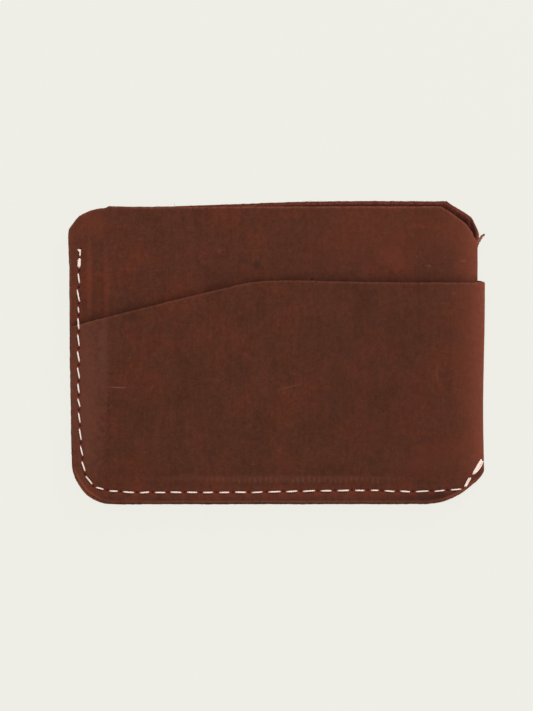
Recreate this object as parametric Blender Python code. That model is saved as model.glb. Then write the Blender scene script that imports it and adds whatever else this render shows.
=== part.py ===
"""Minimalist leather wallet with three card pockets.

An inner sleeve, folded once, is the centre pocket. An outer wrap, folded once
round the sleeve and cut lower, makes a front and a back pocket. One lockstitch
seam, made of a needle thread and a bobbin thread, closes the side and the bottom.

The wallet lies on its back: X runs to the folded side, Y to the pocket mouths
and Z up from the back to the front. The origin is under the middle of its box.
"""
import math

import bmesh
import bpy
from mathutils import Vector

MM = 0.001

# Overall sizes
WIDTH = 101.6 * MM  # raw edges to the outside of the wrap's fold
HEIGHT = 73.8 * MM  # bottom edge to the top edge of the sleeve's back panel

# Leather and the gaps between its layers
LEATHER = 1.5 * MM
LAYER_GAP = 0.3 * MM  # between the sleeve and the wrap
POCKET_GAP = 1.1 * MM  # between the sleeve's two panels
SEAM_GAP = 0.3 * MM  # the same gap where the seam presses it shut

# Sleeve
SLEEVE_FRONT_DROP = 1.3 * MM  # its front edge stands this much lower than its back edge
SLEEVE_SKEW_START = 26.0 * MM  # from the raw side, where the back edge starts to rise
SLEEVE_SKEW_RUN = 38.0 * MM  # over this width the back edge rises to its full height
SLEEVE_CUT_ALONG = 8.9 * MM  # top corner of its fold: cut along the mouth
SLEEVE_CUT_DOWN = 8.2 * MM  # and down the fold

# Wrap
MOUTH_LOW = 42.7 * MM  # mouth of the outer pockets at the raw side, above the bottom
MOUTH_HIGH = 54.2 * MM  # and at the fold
MOUTH_SLOPE_RUN = 45.5 * MM  # width over which the mouth climbs
MOUTH_BEND_RADIUS = 30.0 * MM
WRAP_CUT_ALONG = 11.0 * MM  # bottom corner of its fold: cut along the bottom
WRAP_CUT_UP = 7.6 * MM  # and up the fold

# Corners on the raw side, and how far each fold corner's cut bows outwards
TOP_CORNER_RADIUS = 8.5 * MM
BOTTOM_CORNER_RADIUS = 9.0 * MM
CUT_BOW = 1.0 * MM

# Seam
SIDE_INSET = 2.7 * MM  # from the raw side to the seam
BOTTOM_INSET = 3.3 * MM
CUT_INSET = 2.0 * MM  # from the wrap's cut corner
SEAM_TOP = 11.0 * MM  # from the top of the wallet to the first hole
SEAM_END = 3.4 * MM  # from the outside of the fold to the last hole
PITCH = 3.85 * MM  # one stitch
STEP_ABOVE = 2.5 * MM  # from the mouth's edge up to the hole above it
STEP_BELOW = 1.6 * MM  # and down to the hole below it
PRESSED_MARGIN = 5.3 * MM  # width pressed flat along the seam
PRESSED_SLOPE = 4.0 * MM  # and the slope back to the full pocket gap

# Thread
THREAD = 0.45 * MM  # diameter
THREAD_GAP = 0.15 * MM  # clearance round it

# Fineness
SLOPE_STEPS = 4
FOLD_STEPS = 8
CORNER_STEPS = 6

# Derived places
LEFT, RIGHT = -WIDTH / 2, WIDTH / 2
BOTTOM, TOP = -HEIGHT / 2, HEIGHT / 2
SLEEVE_RADIUS = (POCKET_GAP + LEATHER) / 2  # middle of the leather, round the fold
WRAP_RADIUS = SLEEVE_RADIUS + LEATHER + LAYER_GAP
FOLD_X = RIGHT - WRAP_RADIUS - LEATHER / 2  # centre line of both folds
MIDDLE_Z = WRAP_RADIUS + LEATHER / 2
PRESS_RISE = POCKET_GAP - SEAM_GAP  # the back layers rise this much along the seam
SLEEVE_RIGHT = FOLD_X + SLEEVE_RADIUS + LEATHER / 2
THREAD_LEG = THREAD + THREAD_GAP  # from a hole's centre to each leg of a loop
HOLE_REACH = THREAD_LEG + math.sqrt(2) * (THREAD / 2 + THREAD_GAP)  # to a hole's point
SKIN_TO_THREAD = THREAD_GAP + THREAD / 2  # from the leather to a stitch's centre


def clear_scene():
    for old in list(bpy.data.objects):
        bpy.data.objects.remove(old, do_unlink=True)


def material(name, colour, roughness):
    made = bpy.data.materials.new(name)
    made.use_nodes = True
    shader = made.node_tree.nodes["Principled BSDF"]
    shader.inputs["Base Color"].default_value = (*colour, 1.0)
    shader.inputs["Roughness"].default_value = roughness
    shader.inputs["Metallic"].default_value = 0.0
    return made


def add_object(name, data, finish):
    made = bpy.data.objects.new(name, data)
    bpy.context.scene.collection.objects.link(made)
    if finish:
        data.materials.append(finish)
    return made


# Outlines, as lists of 2-D points

def arc_by_bow(start, end, bow):
    """Points from start to end on an arc that bows to the right of the way by bow."""
    chord = end - start
    half = chord.length / 2
    radius = (half * half + bow * bow) / (2 * bow)
    way = chord.normalized()
    right = Vector((way.y, -way.x))
    centre = (start + end) / 2 + right * (bow - radius)
    spread = math.asin(half / radius)
    points = []
    for step in range(CORNER_STEPS + 1):
        angle = spread * (2 * step / CORNER_STEPS - 1)
        points.append(centre + way * (radius * math.sin(angle)) + right * (radius * math.cos(angle)))
    return points


def round_corner(before, corner, after, radius):
    """Points of a fillet at a corner between two straight edges."""
    back, forward = (before - corner).normalized(), (after - corner).normalized()
    half_angle = back.angle(forward) / 2
    reach = radius / math.tan(half_angle)
    centre = corner + (back + forward).normalized() * (radius / math.sin(half_angle))
    start, end = corner + back * reach - centre, corner + forward * reach - centre
    turn = start.angle_signed(end)
    points = []
    for step in range(CORNER_STEPS + 1):
        angle = -turn * step / CORNER_STEPS
        spun = Vector((
            start.x * math.cos(angle) - start.y * math.sin(angle),
            start.x * math.sin(angle) + start.y * math.cos(angle),
        ))
        points.append(centre + spun)
    return points


def panel_to_flat(x, radius):
    """How far from the fold's middle a point of a flat panel lies along the leather."""
    return FOLD_X - x + math.pi * radius / 2


# Each half outline runs from the fold's lower end round the raw side to its upper
# end, with the distance from the fold's middle as its first coordinate.

def bottom_edge(radius, cut_along, cut_up):
    """The cut corner at the fold, the bottom edge and the round corner."""
    fold_end = Vector((0, BOTTOM + cut_up))
    edge_start = Vector((cut_along, BOTTOM))
    side = panel_to_flat(LEFT, radius)
    corner = Vector((side, BOTTOM))
    up = corner + Vector((0, HEIGHT))
    points = arc_by_bow(fold_end, edge_start, CUT_BOW)
    return points + round_corner(edge_start, corner, up, BOTTOM_CORNER_RADIUS)


def sleeve_half(is_back):
    wrap_share = (WRAP_CUT_ALONG - (RIGHT - SLEEVE_RIGHT)) / WRAP_CUT_ALONG
    cut_along = panel_to_flat(RIGHT - WRAP_CUT_ALONG, SLEEVE_RADIUS)
    points = bottom_edge(SLEEVE_RADIUS, cut_along, WRAP_CUT_UP * wrap_share)
    side = panel_to_flat(LEFT, SLEEVE_RADIUS)
    low = TOP - SLEEVE_FRONT_DROP
    corner = Vector((side, low))
    mouth_end = Vector((panel_to_flat(SLEEVE_RIGHT - SLEEVE_CUT_ALONG, SLEEVE_RADIUS), low))
    points += round_corner(corner - Vector((0, HEIGHT)), corner, mouth_end, TOP_CORNER_RADIUS)
    if is_back:
        skew_end = side - SLEEVE_SKEW_START - SLEEVE_SKEW_RUN
        points += [Vector((side - SLEEVE_SKEW_START, low)), Vector((skew_end, TOP))]
        mouth_end.y = TOP
    fold_end = Vector((0, low - SLEEVE_CUT_DOWN))
    return points + arc_by_bow(mouth_end, fold_end, CUT_BOW)


def wrap_half():
    cut_along = panel_to_flat(RIGHT - WRAP_CUT_ALONG, WRAP_RADIUS)
    points = bottom_edge(WRAP_RADIUS, cut_along, WRAP_CUT_UP)
    side = panel_to_flat(LEFT, WRAP_RADIUS)
    low = Vector((side, BOTTOM + MOUTH_LOW))
    bend = Vector((side - MOUTH_SLOPE_RUN, BOTTOM + MOUTH_HIGH))
    fold_end = Vector((0, BOTTOM + MOUTH_HIGH))
    return points + [low] + round_corner(low, bend, fold_end, MOUTH_BEND_RADIUS) + [fold_end]


def whole_outline(front_half, back_half):
    """The flat pattern: the front half as it is, and the back half mirrored at the fold."""
    mirrored = [Vector((-p.x, p.y)) for p in reversed(back_half)]
    points = front_half + mirrored[1:-1]
    return [p for p, before in zip(points, [points[-1]] + points) if (p - before).length > 1e-6]


# Folded leather

def pressed(x, y):
    """1 where the seam presses the layers together, falling to 0 inside its slope."""
    across = (x - LEFT - PRESSED_MARGIN) / PRESSED_SLOPE
    up = (y - BOTTOM - PRESSED_MARGIN) / PRESSED_SLOPE
    side, base = (1 - min(max(t, 0.0), 1.0) for t in (across, up))
    return 1 - (1 - side) * (1 - base)


def fold_point(flat, depth, radius):
    """Where a point of the flat pattern goes, depth being its height over the middle of the leather."""
    quarter = math.pi * radius / 2
    angle = min(max(flat.x, -quarter), quarter) / radius
    reach = radius + depth
    x = FOLD_X + reach * math.cos(angle) - max(abs(flat.x) - quarter, 0.0)
    backness = (1 - math.sin(angle)) / 2
    z = MIDDLE_Z + reach * math.sin(angle) + PRESS_RISE * backness * pressed(x, flat.y)
    return Vector((x, flat.y, z))


def pattern_lines(radius):
    """Places across the flat pattern where the leather bends."""
    quarter = math.pi * radius / 2
    lines = [quarter * (2 * step / FOLD_STEPS - 1) for step in range(FOLD_STEPS + 1)]
    for step in range(SLOPE_STEPS + 1):
        slope = panel_to_flat(LEFT + PRESSED_MARGIN + PRESSED_SLOPE * step / SLOPE_STEPS, radius)
        lines += [slope, -slope]
    return lines


def folded_leather(name, outline, radius, finish):
    """Leather cut flat to an outline, then folded at its middle and pressed along the seam."""
    shell = bmesh.new()
    shell.faces.new([shell.verts.new((p.x, p.y, -LEATHER / 2)) for p in outline])
    slopes = [BOTTOM + PRESSED_MARGIN + PRESSED_SLOPE * s / SLOPE_STEPS for s in range(SLOPE_STEPS + 1)]
    cuts = [((place, 0, 0), (1, 0, 0)) for place in pattern_lines(radius)]
    cuts += [((0, place, 0), (0, 1, 0)) for place in slopes]
    for place, normal in cuts:
        everything = shell.verts[:] + shell.edges[:] + shell.faces[:]
        bmesh.ops.bisect_plane(shell, geom=everything, dist=1e-7, plane_co=place, plane_no=normal)
    bmesh.ops.triangulate(shell, faces=shell.faces[:])
    raised = bmesh.ops.extrude_face_region(shell, geom=shell.faces[:])["geom"]
    for vert in raised:
        if isinstance(vert, bmesh.types.BMVert):
            vert.co.z = LEATHER / 2
    for vert in shell.verts:
        vert.co = fold_point(vert.co.xy, vert.co.z, radius)
    bmesh.ops.recalc_face_normals(shell, faces=shell.faces[:])
    mesh = bpy.data.meshes.new(name)
    shell.to_mesh(mesh)
    shell.free()
    return add_object(name, mesh, finish)


# Seam

def seam_path():
    """Corners of the seam's route, seen from above, as short straight pieces."""
    side, base = LEFT + SIDE_INSET, BOTTOM + BOTTOM_INSET
    start = Vector((side, TOP - SEAM_TOP))
    corner = Vector((side, base))
    cut_start = Vector((RIGHT - WRAP_CUT_ALONG, BOTTOM))
    way = Vector((WRAP_CUT_ALONG, WRAP_CUT_UP)).normalized()
    inward = Vector((-way.y, way.x))
    offset = cut_start + inward * (CUT_INSET - CUT_BOW)
    turn = offset + way * ((base - offset.y) / way.y)
    end = offset + way * ((RIGHT - SEAM_END - offset.x) / way.x)
    return [start] + round_corner(start, corner, turn, BOTTOM_CORNER_RADIUS - SIDE_INSET) + [turn, end]


def along_path(path, distance):
    """The point and the way at a distance along a path."""
    for a, b in zip(path, path[1:]):
        length = (b - a).length
        if distance <= length or b is path[-1]:
            way = (b - a) / length
            return a + way * distance, way
        distance -= length


def mouth_height_at(x):
    """The outer pockets' mouth over a place on the sloping part of its edge."""
    return BOTTOM + MOUTH_LOW + (MOUTH_HIGH - MOUTH_LOW) * (x - LEFT) / MOUTH_SLOPE_RUN


def seam_holes():
    """Every hole's centre, way along the seam, and whether the wrap covers it."""
    path = seam_path()
    length = sum((b - a).length for a, b in zip(path, path[1:]))
    mouth = path[0].y - mouth_height_at(path[0].x)
    above, below = mouth - STEP_ABOVE, mouth + STEP_BELOW
    holes = []
    for start, end, is_wrapped in ((0.0, above, False), (below, length, True)):
        count = max(1, round((end - start) / PITCH))
        for step in range(count + 1):
            holes.append((*along_path(path, start + (end - start) * step / count), is_wrapped))
    return holes


def hole_cutter(holes):
    """Diamond needle holes, as upright prisms through every layer."""
    prisms = bmesh.new()
    for centre, way, _ in holes:
        side = Vector((-way.y, way.x))
        rim = [centre + direction * HOLE_REACH for direction in (way, side, -way, -side)]
        verts = [prisms.verts.new((p.x, p.y, -LEATHER)) for p in rim]
        face = prisms.faces.new(verts)
        top = bmesh.ops.extrude_face_region(prisms, geom=[face])["geom"]
        for vert in top:
            if isinstance(vert, bmesh.types.BMVert):
                vert.co.z = 2 * MIDDLE_Z + LEATHER
    bmesh.ops.recalc_face_normals(prisms, faces=prisms.faces[:])
    mesh = bpy.data.meshes.new("needle_holes")
    prisms.to_mesh(mesh)
    prisms.free()
    cutter = add_object("needle_holes", mesh, None)
    cutter.hide_render = True
    cutter.display_type = "WIRE"
    return cutter


def cut_holes(leather, cutter):
    cut = leather.modifiers.new("needle holes", "BOOLEAN")
    cut.operation = "DIFFERENCE"
    cut.solver = "EXACT"
    cut.object = cutter


def front_level(is_wrapped):
    """Centre height of a stitch on the front."""
    radius = WRAP_RADIUS if is_wrapped else SLEEVE_RADIUS
    return MIDDLE_Z + radius + LEATHER / 2 + SKIN_TO_THREAD


def back_level(is_wrapped):
    """Centre height of a stitch on the back."""
    radius = WRAP_RADIUS if is_wrapped else SLEEVE_RADIUS
    return MIDDLE_Z - radius - LEATHER / 2 + PRESS_RISE - SKIN_TO_THREAD


def locked_level():
    """Half way between the sleeve's panels where they are pressed."""
    return MIDDLE_Z + PRESS_RISE / 2


def at(centre, way, along, across, height):
    """A 3-D point beside a hole's centre."""
    place = centre + way * along + Vector((-way.y, way.x)) * across
    return Vector((place.x, place.y, height))


def needle_loop(hole):
    """The needle thread's way down a hole, round the bobbin thread and up again."""
    centre, way, is_wrapped = hole
    top = front_level(is_wrapped)
    low = locked_level() - SKIN_TO_THREAD
    places = [
        (-THREAD_LEG - THREAD / 2, top),
        (-THREAD_LEG, top - THREAD / 2),
        (-THREAD_LEG, low),
        (THREAD_LEG, low),
        (THREAD_LEG, top - THREAD / 2),
        (THREAD_LEG + THREAD / 2, top),
    ]
    return [at(centre, way, along, 0.0, height) for along, height in places]


def bobbin_loop(hole):
    """The bobbin thread's way up a hole, across through the needle thread's loop and down."""
    centre, way, is_wrapped = hole
    base = back_level(is_wrapped)
    high = locked_level() + SKIN_TO_THREAD
    places = [
        (-THREAD_LEG, 0.0, base),
        (0.0, THREAD_LEG, base + THREAD),
        (0.0, THREAD_LEG, high),
        (0.0, -THREAD_LEG, high),
        (0.0, -THREAD_LEG, base + THREAD),
        (THREAD_LEG, 0.0, base),
    ]
    return [at(centre, way, *place) for place in places]


def thread_route(holes, loop, level):
    """One thread through every hole, stepping on to the wrap clear of its mouth's edge."""
    route = []
    for hole, after in zip(holes, holes[1:] + [None]):
        route += loop(hole)
        if after and after[2] != hole[2]:
            edge = mouth_height_at(hole[0].x) + THREAD_GAP + THREAD
            route.append(Vector((hole[0].x, edge, level(after[2]))))
    half = len(loop(holes[0])) // 2
    return route[half - 1:-half + 1]


def thread(name, route, finish):
    curve = bpy.data.curves.new(name, "CURVE")
    curve.dimensions = "3D"
    curve.bevel_depth = THREAD / 2
    curve.bevel_resolution = 1
    curve.use_fill_caps = True
    line = curve.splines.new("POLY")
    line.points.add(len(route) - 1)
    for point, place in zip(line.points, route):
        point.co = (*place, 1.0)
    return add_object(name, curve, finish)


def build():
    clear_scene()
    sleeve_leather = material("sleeve leather", (0.090, 0.032, 0.020), 0.75)
    wrap_leather = material("wrap leather", (0.098, 0.034, 0.022), 0.75)
    needle_finish = material("needle thread", (0.80, 0.62, 0.52), 0.6)
    bobbin_finish = material("bobbin thread", (0.78, 0.61, 0.51), 0.6)

    sleeve_outline = whole_outline(sleeve_half(False), sleeve_half(True))
    wrap_outline = whole_outline(wrap_half(), wrap_half())
    sleeve = folded_leather("inner_sleeve", sleeve_outline, SLEEVE_RADIUS, sleeve_leather)
    wrap = folded_leather("outer_wrap", wrap_outline, WRAP_RADIUS, wrap_leather)

    holes = seam_holes()
    cutter = hole_cutter(holes)
    cut_holes(sleeve, cutter)
    cut_holes(wrap, cutter)
    thread("needle_thread", thread_route(holes, needle_loop, front_level), needle_finish)
    thread("bobbin_thread", thread_route(holes, bobbin_loop, back_level), bobbin_finish)


build()
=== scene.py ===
import math
import random

import bmesh
import bpy
import numpy as np
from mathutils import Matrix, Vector
from mathutils.geometry import delaunay_2d_cdt


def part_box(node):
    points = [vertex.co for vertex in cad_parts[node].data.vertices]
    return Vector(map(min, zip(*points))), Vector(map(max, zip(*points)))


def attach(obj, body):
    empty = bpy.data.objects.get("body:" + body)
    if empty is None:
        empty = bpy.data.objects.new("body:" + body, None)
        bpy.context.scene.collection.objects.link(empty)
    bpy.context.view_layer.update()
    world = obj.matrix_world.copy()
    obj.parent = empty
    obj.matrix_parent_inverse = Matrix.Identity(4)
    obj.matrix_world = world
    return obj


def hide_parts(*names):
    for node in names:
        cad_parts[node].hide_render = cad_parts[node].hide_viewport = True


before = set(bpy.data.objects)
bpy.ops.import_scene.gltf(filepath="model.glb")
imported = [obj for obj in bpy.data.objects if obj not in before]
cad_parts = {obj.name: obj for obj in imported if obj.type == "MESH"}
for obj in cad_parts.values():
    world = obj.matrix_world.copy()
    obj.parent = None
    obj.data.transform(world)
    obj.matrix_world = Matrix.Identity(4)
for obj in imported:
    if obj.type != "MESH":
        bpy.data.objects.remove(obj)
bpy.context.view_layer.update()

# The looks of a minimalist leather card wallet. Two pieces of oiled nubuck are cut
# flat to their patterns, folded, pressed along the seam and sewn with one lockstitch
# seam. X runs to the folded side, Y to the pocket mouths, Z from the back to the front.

MM = 0.001
SLEEVE_LOW, SLEEVE_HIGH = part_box("inner_sleeve")
WRAP_LOW, WRAP_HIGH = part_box("outer_wrap")

# Places of the wallet
LEFT, RIGHT = WRAP_LOW.x, WRAP_HIGH.x
BOTTOM, TOP = SLEEVE_LOW.y, SLEEVE_HIGH.y
MIDDLE_Z = (WRAP_LOW.z + WRAP_HIGH.z) / 2

# Leather
LEATHER = 1.6 * MM
LAYER_GAP = 0.1 * MM  # between the sleeve and the wrap
WRAP_RADIUS = (WRAP_HIGH.z - WRAP_LOW.z) / 2 - LEATHER / 2  # middle of the leather, round the fold
SLEEVE_RADIUS = WRAP_RADIUS - LEATHER - LAYER_GAP
WRAP_FOLD_X = RIGHT - WRAP_RADIUS - LEATHER / 2
SLEEVE_FOLD_X = SLEEVE_HIGH.x - SLEEVE_RADIUS - LEATHER / 2
EDGE_ROUNDING = 0.32 * MM  # of the grain side's cut edge
FLESH_ROUNDING = 0.15 * MM

# How the folded leather lies
PRESS = 0.4 * MM  # each side sinks this much along the seam
PRESSED_MARGIN = 4.6 * MM
PRESSED_SLOPE = 5.5 * MM
FOLD_SQUASH = 0.09  # the folds are this much flatter than round
FOLD_SQUASH_RUN = 8.0 * MM
FOLD_BOW = 0.45 * MM  # the wrap's fold is drawn in this much half way down
WAIST_Y, WAIST_RUN = -14.0 * MM, 17.0 * MM  # the middle of that bow, and how far it reaches
FLARE = 0.5 * MM  # the cut end of the sleeve's fold spreads this much
FLARE_Y, FLARE_RUN = 28.6 * MM, 1.6 * MM
BULGE = 0.3 * MM  # the front stands proud over the pockets

# Seam
THREAD_RADIUS = 0.205 * MM
TWIST = 1.5 * MM  # length of one turn of the plies
SIDE_SINK = 1.15 * MM  # along the raw side a stitch comes out of the leather this far from its hole
BASE_SINK = 1.3 * MM  # and along the bottom
SIDE_SLANT = 0.3 * MM  # each stitch's ends lie this far to either side of the seam
BASE_SLANT = 0.05 * MM
STEP_MARGIN = 0.9 * MM  # a stitch climbs on to the wrap over this length
DIVE = 0.85 * MM  # depth at which a stitch's rise out of its hole begins
CROWN = 0.62  # share of its radius that a stitch's middle line stands over the leather
LAST_STITCHES = 5  # the thread is pulled thinner in these
LAST_THINNING = 0.86

# How deep the thread pulls the leather in, and how far round: at a hole, round it and between holes
PIT_DEPTH, PIT_REACH = 0.42 * MM, 0.24 * MM
DIMPLE_DEPTH, DIMPLE_REACH = 0.16 * MM, 0.8 * MM
CHANNEL_DEPTH, CHANNEL_REACH = 0.10 * MM, 0.55 * MM

# Fineness of the meshes
RIM_SPACING = 0.32 * MM
GRAIN_SPACING = 1.15 * MM
FLESH_SPACING = 1.9 * MM
FOLD_SPACING = 0.34 * MM
SEAM_SPACING = 0.36 * MM
SEAM_BAND = 1.3 * MM
ROW_PITCH = 0.87  # rows of staggered points lie this share of their spacing apart

BACK = 200.0  # a place x on the back is BACK - x on the pattern that marks and noise follow


def shade(red, green, blue):
    """A colour given as it looks on a screen, as the linear values that a shader takes."""
    linear = []
    for value in (red, green, blue):
        share = value / 255
        linear.append(share / 12.92 if share <= 0.04045 else ((share + 0.055) / 1.055) ** 2.4)
    return (*linear, 1.0)


# The front pocket's mouth, in millimetres across and above the wallet's middle
MOUTH = [(-50.15, 6.0), (-47.9, 6.85), (-30.8, 11.25), (-13.7, 15.4), (-6.5, 17.0), (3.0, 17.5),
         (23.7, 17.1), (45.5, 17.0), (49.0, 17.03)]


def mouth_height(x):
    """Height of the front pocket's mouth at places across the wallet."""
    across, up = np.array(MOUTH).T * MM
    return np.interp(x, across, up)


# Outlines. Each half outline runs from the fold's lower end round the raw side to its
# upper end, with the distance from the fold's middle as its first coordinate.

def smooth_line(points, steps=8):
    """A Catmull-Rom curve through points."""
    ends = [2 * points[0] - points[1], *points, 2 * points[-1] - points[-2]]
    line = []
    for a, b, c, d in zip(ends, ends[1:], ends[2:], ends[3:]):
        for step in range(steps):
            t = step / steps
            line.append(0.5 * (2 * b + (c - a) * t + (2 * a - 5 * b + 4 * c - d) * t * t
                               + (3 * b - a - 3 * c + d) * t ** 3))
    return line + [points[-1]]


def to_pattern(x, y, radius, fold_x):
    """A place on the flat pattern, given in millimetres across and above the wallet's middle."""
    over_fold = x * MM - fold_x
    if over_fold <= 0:
        return Vector((math.pi * radius / 2 - over_fold, y * MM))
    return Vector((radius * math.acos(min(over_fold / (radius + LEATHER / 2), 1.0)), y * MM))


# The round corner and the raw side: across and up from the lower left, and the share of the
# layer's trim that moves each point across and up
ROUND_CORNER = [(11.2, 0.0, 0.0, 0.0), (8.6, 0.25, 1.0, 0.2), (6.3, 1.1, 1.0, 0.5), (4.0, 2.8, 1.0, 0.7),
                (2.1, 5.5, 1.0, 0.7), (1.1, 8.2, 1.0, 0.0), (0.85, 11.5, 1.0, 0.0), (0.75, 17.5, 0.3, 0.0)]
# The sleeve's raw side and top corner, cut by hand in short straight facets
SLEEVE_SIDE = [(-50.35, 2.0), (-50.4, 12.0), (-50.42, 20.5), (-50.6, 24.0), (-50.74, 28.1), (-50.6, 30.0),
               (-49.3, 31.75), (-48.1, 33.15), (-45.8, 34.4), (-43.7, 34.95), (-41.7, 35.15)]


def raw_side(radius, fold_x, trim, corner_trim):
    """The cut corner at the fold, the bottom edge, the round corner and the raw side.

    trim is how far this layer stops short of the lowest one, and corner_trim the same
    at the round corner.
    """
    def on(x, y):
        return to_pattern(x, y, radius, fold_x)

    low = BOTTOM / MM - 0.15 + trim
    left = LEFT / MM
    cut = [Vector((0.0, BOTTOM + 7.9 * MM)), on(50.55, low + 7.4), on(49.8, low + 6.3), on(48.0, low + 4.8),
           on(45.5, low + 2.95), on(42.8, low + 1.5), on(40.2, low + 0.55), on(37.0, low + 0.05)]
    corner = [on(left + x + shift_x * corner_trim, low + y + shift_y * corner_trim)
              for x, y, shift_x, shift_y in ROUND_CORNER]
    return smooth_line(cut, 4) + smooth_line(corner, 6)


def sleeve_half(is_back):
    def on(x, y):
        return to_pattern(x, y, SLEEVE_RADIUS, SLEEVE_FOLD_X)

    points = raw_side(SLEEVE_RADIUS, SLEEVE_FOLD_X, 0.12 if is_back else 0.25, 0.1)
    top = TOP / MM
    front_top = top - 1.35
    points += [on(x, y) for x, y in SLEEVE_SIDE] + [on(-40.8, front_top + 0.05)]
    if is_back:
        points += smooth_line([on(-38.0, front_top), on(-25.0, front_top + 0.1), on(0.0, top - 0.35),
                               on(14.0, top - 0.02), on(30.0, top), on(41.5, top - 0.05)], 6)
        cut = [on(41.75, top - 0.25), on(43.4, top - 1.35), on(46.7, top - 3.35), on(47.9, top - 4.4),
               on(48.6, top - 5.8), on(48.95, top - 7.4), Vector((0.0, top * MM - 9.4 * MM))]
        return points + smooth_line(cut, 4)
    points += [on(-32.0, front_top - 0.15), on(-10.0, front_top - 0.05), on(20.0, front_top),
               on(39.7, front_top)]
    cut = [on(40.1, front_top - 0.15), on(42.0, front_top - 1.25), on(43.7, front_top - 2.4),
           on(45.9, front_top - 4.1), on(47.4, front_top - 5.8), on(48.3, front_top - 7.4),
           Vector((0.0, front_top * MM - 8.6 * MM))]
    return points + smooth_line(cut, 4)


def wrap_half(is_back):
    def on(x, y):
        return to_pattern(x, y, WRAP_RADIUS, WRAP_FOLD_X)

    trim = 0.0 if is_back else 0.55
    points = raw_side(WRAP_RADIUS, WRAP_FOLD_X, trim, trim * 0.75)
    points += [on(-50.05, -10.0), on(-50.12, 0.0)]
    rise = 0.55 if is_back else 0.0  # the back's mouth stands a little higher at the fold
    mouth = [on(x, y + (rise if x > 20.0 else 0.0)) for x, y in MOUTH]
    return points + smooth_line(mouth + [Vector((0.0, 17.2 * MM))], 6)


def whole_outline(front_half, back_half):
    """The flat pattern: the front half as it is, and the back half mirrored at the fold."""
    mirrored = [Vector((-p.x, p.y)) for p in reversed(back_half)]
    points = front_half + mirrored[1:-1]
    return [p for p, before in zip(points, [points[-1]] + points) if (p - before).length > 1e-6]


def evenly_spaced(points, spacing):
    """The closed outline through points, with a point about every spacing."""
    ring = np.array([tuple(p) for p in points])
    closed = np.vstack([ring, ring[:1]])
    lengths = np.hypot(*np.diff(closed, axis=0).T)
    travelled = np.concatenate([[0.0], np.cumsum(lengths)])
    count = int(travelled[-1] / spacing)
    stations = np.arange(count) * travelled[-1] / count
    return np.column_stack([np.interp(stations, travelled, closed[:, k]) for k in (0, 1)]), stations


def signed_area(ring):
    """The area inside an outline, negative if it goes round clockwise."""
    x, y = ring.T
    return 0.5 * np.sum(x * np.roll(y, -1) - np.roll(x, -1) * y)


def inward_normals(ring):
    """Unit normals that point into an outline."""
    ahead, behind = np.roll(ring, -2, axis=0), np.roll(ring, 2, axis=0)
    way = ahead - behind
    way /= np.linalg.norm(way, axis=1)[:, None]
    turn = 1.0 if signed_area(ring) > 0 else -1.0
    return turn * np.column_stack([-way[:, 1], way[:, 0]])


def ripple(values, seed, longest, count, height):
    """A smooth wobble along values: sines of random phase and wavelengths up to longest."""
    draw = random.Random(seed)
    total = np.zeros_like(values)
    for step in range(count):
        wavelength = longest / (1.0 + 1.35 * step) * draw.uniform(0.8, 1.2)
        phase = draw.uniform(0.0, 2 * math.pi)
        total += np.sin(values * 2 * math.pi / wavelength + phase) / math.sqrt(1.0 + step)
    return height * total / math.sqrt(count)


# Seam

# The seam's route, in millimetres across and above the wallet's middle, from the top of
# the raw side to the cut corner, and the run of stitches along it: (how many, how long)
SEAM = [(-47.85, 25.0), (-48.15, 18.0), (-48.2, 8.0), (-48.15, -4.0), (-48.1, -12.5), (-47.8, -18.5),
        (-47.45, -23.7), (-46.95, -27.8), (-46.2, -30.7), (-44.8, -32.45), (-43.2, -33.2), (-41.4, -33.5),
        (-38.0, -33.85), (-32.0, -34.0), (-9.0, -34.0), (3.0, -33.75), (12.0, -33.62), (18.0, -33.48),
        (24.0, -33.55), (33.0, -33.85), (39.3, -33.6), (43.3, -33.45), (45.65, -33.1)]
STITCHES = [(1, 2.1), (1, 3.05), (2, 4.05), (1, 2.85), (4, 4.0), (2, 3.5), (1, 3.9), (1, 4.2), (3, 3.8),
            (2, 3.45), (5, 3.85), (3, 4.0), (6, 4.2), (1, 3.8), (1, 3.4), (2, 3.8), (1, 4.5), (2, 4.05)]


def seam_holes():
    """Every needle hole's place along the seam, from the top of the raw side to the fold."""
    route = smooth_line([Vector(place) * MM for place in SEAM], 8)
    line = np.array([tuple(p) for p in route])
    travelled = np.concatenate([[0.0], np.cumsum(np.hypot(*np.diff(line, axis=0).T))])
    draw = random.Random(11)
    stations = [0.0]
    for count, length in STITCHES:
        for _ in range(count):
            stations.append(stations[-1] + length)
    jitter = [0.0] * 6 + [draw.uniform(-0.08, 0.08) for _ in stations[6:-1]] + [0.0]
    scale = travelled[-1] / stations[-1]
    holes = []
    for station, shift in zip(stations, jitter):
        place = station * scale + shift * MM
        holes.append(np.array([np.interp(place, travelled, line[:, k]) for k in (0, 1)]))
    return holes + [np.array((47.55, -30.0)) * MM]


HOLES = seam_holes()
LAST_HOLE = np.array((50.3, -26.0)) * MM  # off the edge of the fold


def distance_to_seam(points):
    """How far each point lies from the seam's stitches."""
    places = HOLES + [LAST_HOLE]
    nearest = np.full(len(points), 1.0)
    for a, b in zip(places, places[1:]):
        way = b - a
        share = np.clip(((points - a) @ way) / (way @ way), 0.0, 1.0)
        nearest = np.minimum(nearest, np.linalg.norm(points - a - share[:, None] * way, axis=1))
    return nearest


def distance_to_points(points, centres):
    """How far each point lies from the nearest centre."""
    nearest = np.full(len(points), 1.0)
    for centre in centres:
        nearest = np.minimum(nearest, np.linalg.norm(points - centre, axis=1))
    return nearest


# Folding

def ease(values):
    clipped = np.clip(values, 0.0, 1.0)
    return clipped * clipped * (3.0 - 2.0 * clipped)


def falloff(distance, reach):
    """1 at no distance, fading to almost nothing at twice the reach."""
    return np.exp(-((distance / reach) ** 2))


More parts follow.
